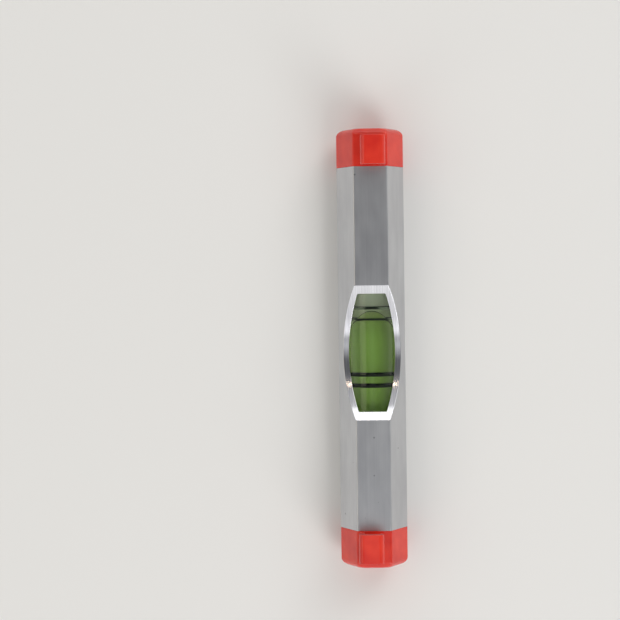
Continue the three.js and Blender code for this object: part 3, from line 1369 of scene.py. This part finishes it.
@dataclass
class Studio:
    """The pale floor, the even surroundings, the soft lamps and the camera.

    Each reach is a range of a direction's Y without its sign, and the horizon's one of its Z. Each
    tone overhead has a direction's X as its place. The camera's roll is in degrees.
    """

    camera_place: tuple[float, float, float] = (13.3 * MM, 1.4 * MM, 298.3 * MM)
    camera_target: tuple[float, float, float] = (6.75 * MM, 10.79 * MM, 5.1 * MM)
    camera_roll: float = -0.77
    lens_mm: float = 97.0
    sensor_mm: float = 36.0
    clip_start: float = 1 * MM
    floor_radius: float = 0.8
    floor_sides: int = 96
    floor_gap: float = 0.02 * MM
    overhead: tuple[tuple[float, str], ...] = (
        (-0.60, "#b6b6b8"),
        (-0.34, "#fafafc"),
        (-0.28, "#a6a7a9"),
        (-0.15, "#cecfd1"),
        (-0.07, "#a4a5a7"),
        (0.0, "#969799"),
        (0.04, "#626365"),
        (0.30, "#626365"),
        (0.46, "#9c9c9e"),
        (0.60, "#b8b8ba"),
    )
    aside: str = "#5c5c5e"
    aside_reach: Range = (0.1, 0.3)
    horizon: str = "#e0e0de"
    horizon_reach: Range = (0.05, 0.85)
    flags: str = "#c8c8ca"
    flags_reach: Range = (0.3, 0.9)
    light_bounces: int = 28
    lamps: list[Softbox] = field(
        default_factory=lambda: [
            Softbox("softbox_foot", (-0.6, 0.0, 0.54), (1.4, 0.8), 0.3),
            Softbox("softbox_head", (0.66, 0.0, 0.35), (1.2, 0.35), 0.9),
            Softbox("softbox_left", (0.0, 0.53, 0.53), (0.5, 0.4), 1.0, "#fff3df"),
            Softbox("softbox_right_head", (0.49, -0.38, 0.5), (0.35, 0.55), 2.7),
            Softbox("softbox_right_foot", (-0.49, -0.38, 0.5), (0.35, 0.55), 4.1),
            Softbox("softbox_left_head", (0.49, 0.38, 0.5), (0.35, 0.55), 0.4),
            Softbox("softbox_left_foot", (-0.49, 0.38, 0.5), (0.35, 0.55), 1.2),
            Softbox("spot_head", (0.338, 0.0, 0.669), (0.06, 0.012), 10.0, "#ffe2c4"),
        ]
    )

    def floor(self) -> None:
        """Lays the floor a hair under the level, so that the two don't share a face."""
        shape = bmesh.new()
        drop = Matrix.Translation((0.0, 0.0, -self.floor_gap))
        bmesh.ops.create_circle(
            shape, cap_ends=True, segments=self.floor_sides, radius=self.floor_radius, matrix=drop
        )
        floor = from_bmesh("studio_floor", shape, [FloorCard()])
        if floor.data.polygons[0].normal.z < 0:
            floor.data.flip_normals()

    def surroundings(self) -> None:
        """Sets a world that is grey overhead, pale at the horizon and flagged off at both sides.

        The grey overhead changes along the level, and is dark to both sides, so that the vial's
        flanks stay darker than its middle.
        """
        world = bpy.data.worlds.new("studio")
        world.use_nodes = True
        tree = world.node_tree
        tree.nodes.clear()
        direction = add_node(tree, "ShaderNodeTexCoord").outputs["Generated"]
        axes = add_node(tree, "ShaderNodeSeparateXYZ", {0: direction}).outputs
        sideways = add_node(tree, "ShaderNodeMath", {0: axes["Y"]}, operation="ABSOLUTE")
        along = add_node(tree, "ShaderNodeMath", {0: axes["X"], 1: 0.5, 2: 0.5}, operation="MULTIPLY_ADD")
        arch = add_node(tree, "ShaderNodeValToRGB", {0: along})
        stops = arch.color_ramp.elements
        stops.remove(stops[0])
        stops[0].position, stops[0].color = 1.0, linear(self.overhead[-1][1])
        for place, tone in self.overhead:
            stops.new((place + 1) / 2).color = linear(tone)
        rim = faded(tree, sideways, self.flags_reach, linear(self.horizon), linear(self.flags))
        roof = faded(tree, sideways, self.aside_reach, arch, linear(self.aside))
        sky = faded(tree, axes["Z"], self.horizon_reach, rim, roof)
        light = add_node(tree, "ShaderNodeBackground", {"Color": sky, "Strength": 1.0})
        add_node(tree, "ShaderNodeOutputWorld", {"Surface": light})
        bpy.context.scene.world = world

    def camera(self) -> None:
        """Places the camera where the photograph was taken from."""
        lens = bpy.data.cameras.new("camera")
        lens.lens, lens.sensor_width = self.lens_mm, self.sensor_mm
        lens.clip_start = self.clip_start
        camera = bpy.data.objects.new("camera", lens)
        bpy.context.scene.collection.objects.link(camera)
        place = Vector(self.camera_place)
        back = (place - Vector(self.camera_target)).normalized()
        up = Vector((1.0, 0.0, 0.0))
        up = (up - back * up.dot(back)).normalized()
        up.rotate(Matrix.Rotation(math.radians(self.camera_roll), 3, back))
        right = up.cross(back)
        turn = Matrix((right, up, back)).transposed().to_4x4()
        camera.matrix_world = Matrix.Translation(place) @ turn
        bpy.context.scene.camera = camera

    def build(self) -> None:
        """Sets the whole studio up."""
        scene = bpy.context.scene
        scene.view_settings.view_transform = "Standard"
        # Light crosses up to eight clear surfaces on its way to the bore and as many on its way out
        scene.cycles.max_bounces = self.light_bounces
        scene.cycles.transmission_bounces = self.light_bounces
        self.camera()
        self.floor()
        self.surroundings()
        for lamp in self.lamps:
            lamp.build()


def main() -> None:
    """Builds the studio and the level's pieces, and logs each piece's count of faces."""
    logging.basicConfig(level=logging.INFO, format="%(message)s")
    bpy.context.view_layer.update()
    Studio().build()
    pieces = [TubeBody().build()]
    pieces += [EndCap(end).build() for end in End]
    pieces += SightVial().build()
    for piece in pieces:
        log.info("%s: %d faces", piece.name, len(piece.data.polygons))


if __name__ == "__main__":
    main()
